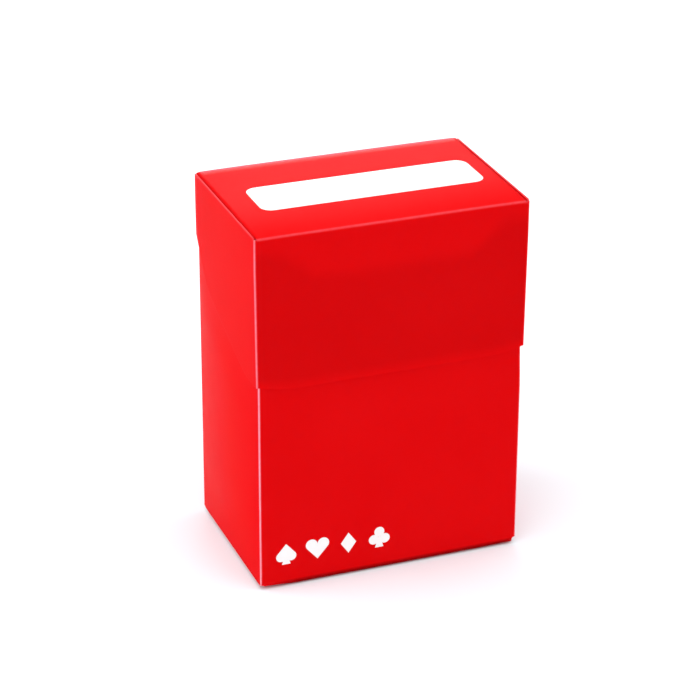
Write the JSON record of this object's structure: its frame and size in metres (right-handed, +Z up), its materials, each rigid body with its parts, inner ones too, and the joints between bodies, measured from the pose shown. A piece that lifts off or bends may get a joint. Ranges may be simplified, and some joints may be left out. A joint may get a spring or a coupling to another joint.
{
  "type": "card deck box",
  "caption": "Upright plastic box for a deck of sleeved playing cards, folded from one sheet, with a hinged cap lid, a thumb notch, a blank label and a loose divider.",
  "frame": {"origin": "middle of the overall footprint, on the table", "axes": "+Z up, -Y towards the front with the thumb notch, +X to the right as seen from the front"},
  "size_m": [0.072, 0.0462, 0.0971],
  "materials": {
    "sheet": "semi-matte red polypropylene sheet with a fine grain, slightly translucent",
    "crease": "the same sheet, pressed thin and whitened by folding",
    "label": "smooth white writing label",
    "print": "white screen-printed ink",
    "divider": "semi-matte red polypropylene sheet"
  },
  "bodies": {
    "box": {"front_wall": "sheet", "back_wall": "sheet", "left_wall": "sheet", "right_wall": "sheet", "left_front_crease": "crease", "right_front_crease": "crease", "left_back_crease": "crease", "right_back_crease": "crease", "seam_flap": "sheet", "floor_panel": "sheet", "floor_front_crease": "crease", "tuck_crease": "crease", "tuck_flap": "sheet", "left_floor_flap": "sheet", "right_floor_flap": "sheet", "left_floor_flap_crease": "crease", "right_floor_flap_crease": "crease", "lid_hinge_web": "crease", "front_print": "print"},
    "lid": {"lid_top": "sheet", "lid_front_crease": "crease", "lid_front": "sheet", "left_lid_crease": "crease", "right_lid_crease": "crease", "left_lid_side": "sheet", "right_lid_side": "sheet", "left_lid_tab_crease": "crease", "right_lid_tab_crease": "crease", "left_lid_tab": "sheet", "right_lid_tab": "sheet", "lid_label": "label"},
    "divider": {"card_divider": "divider"}
  },
  "joints": [
    {"name": "lid_hinge", "type": "hinge", "parent": "box", "child": "lid", "pos_m": [0, 0.02283, 0.09675], "axis": [-1, 0, 0], "range_deg": [0, 210]},
    {"name": "divider_slide", "type": "slide", "parent": "box", "child": "divider", "axis": [0, -1, 0], "range_m": [0, 0.0429]}
  ]
}
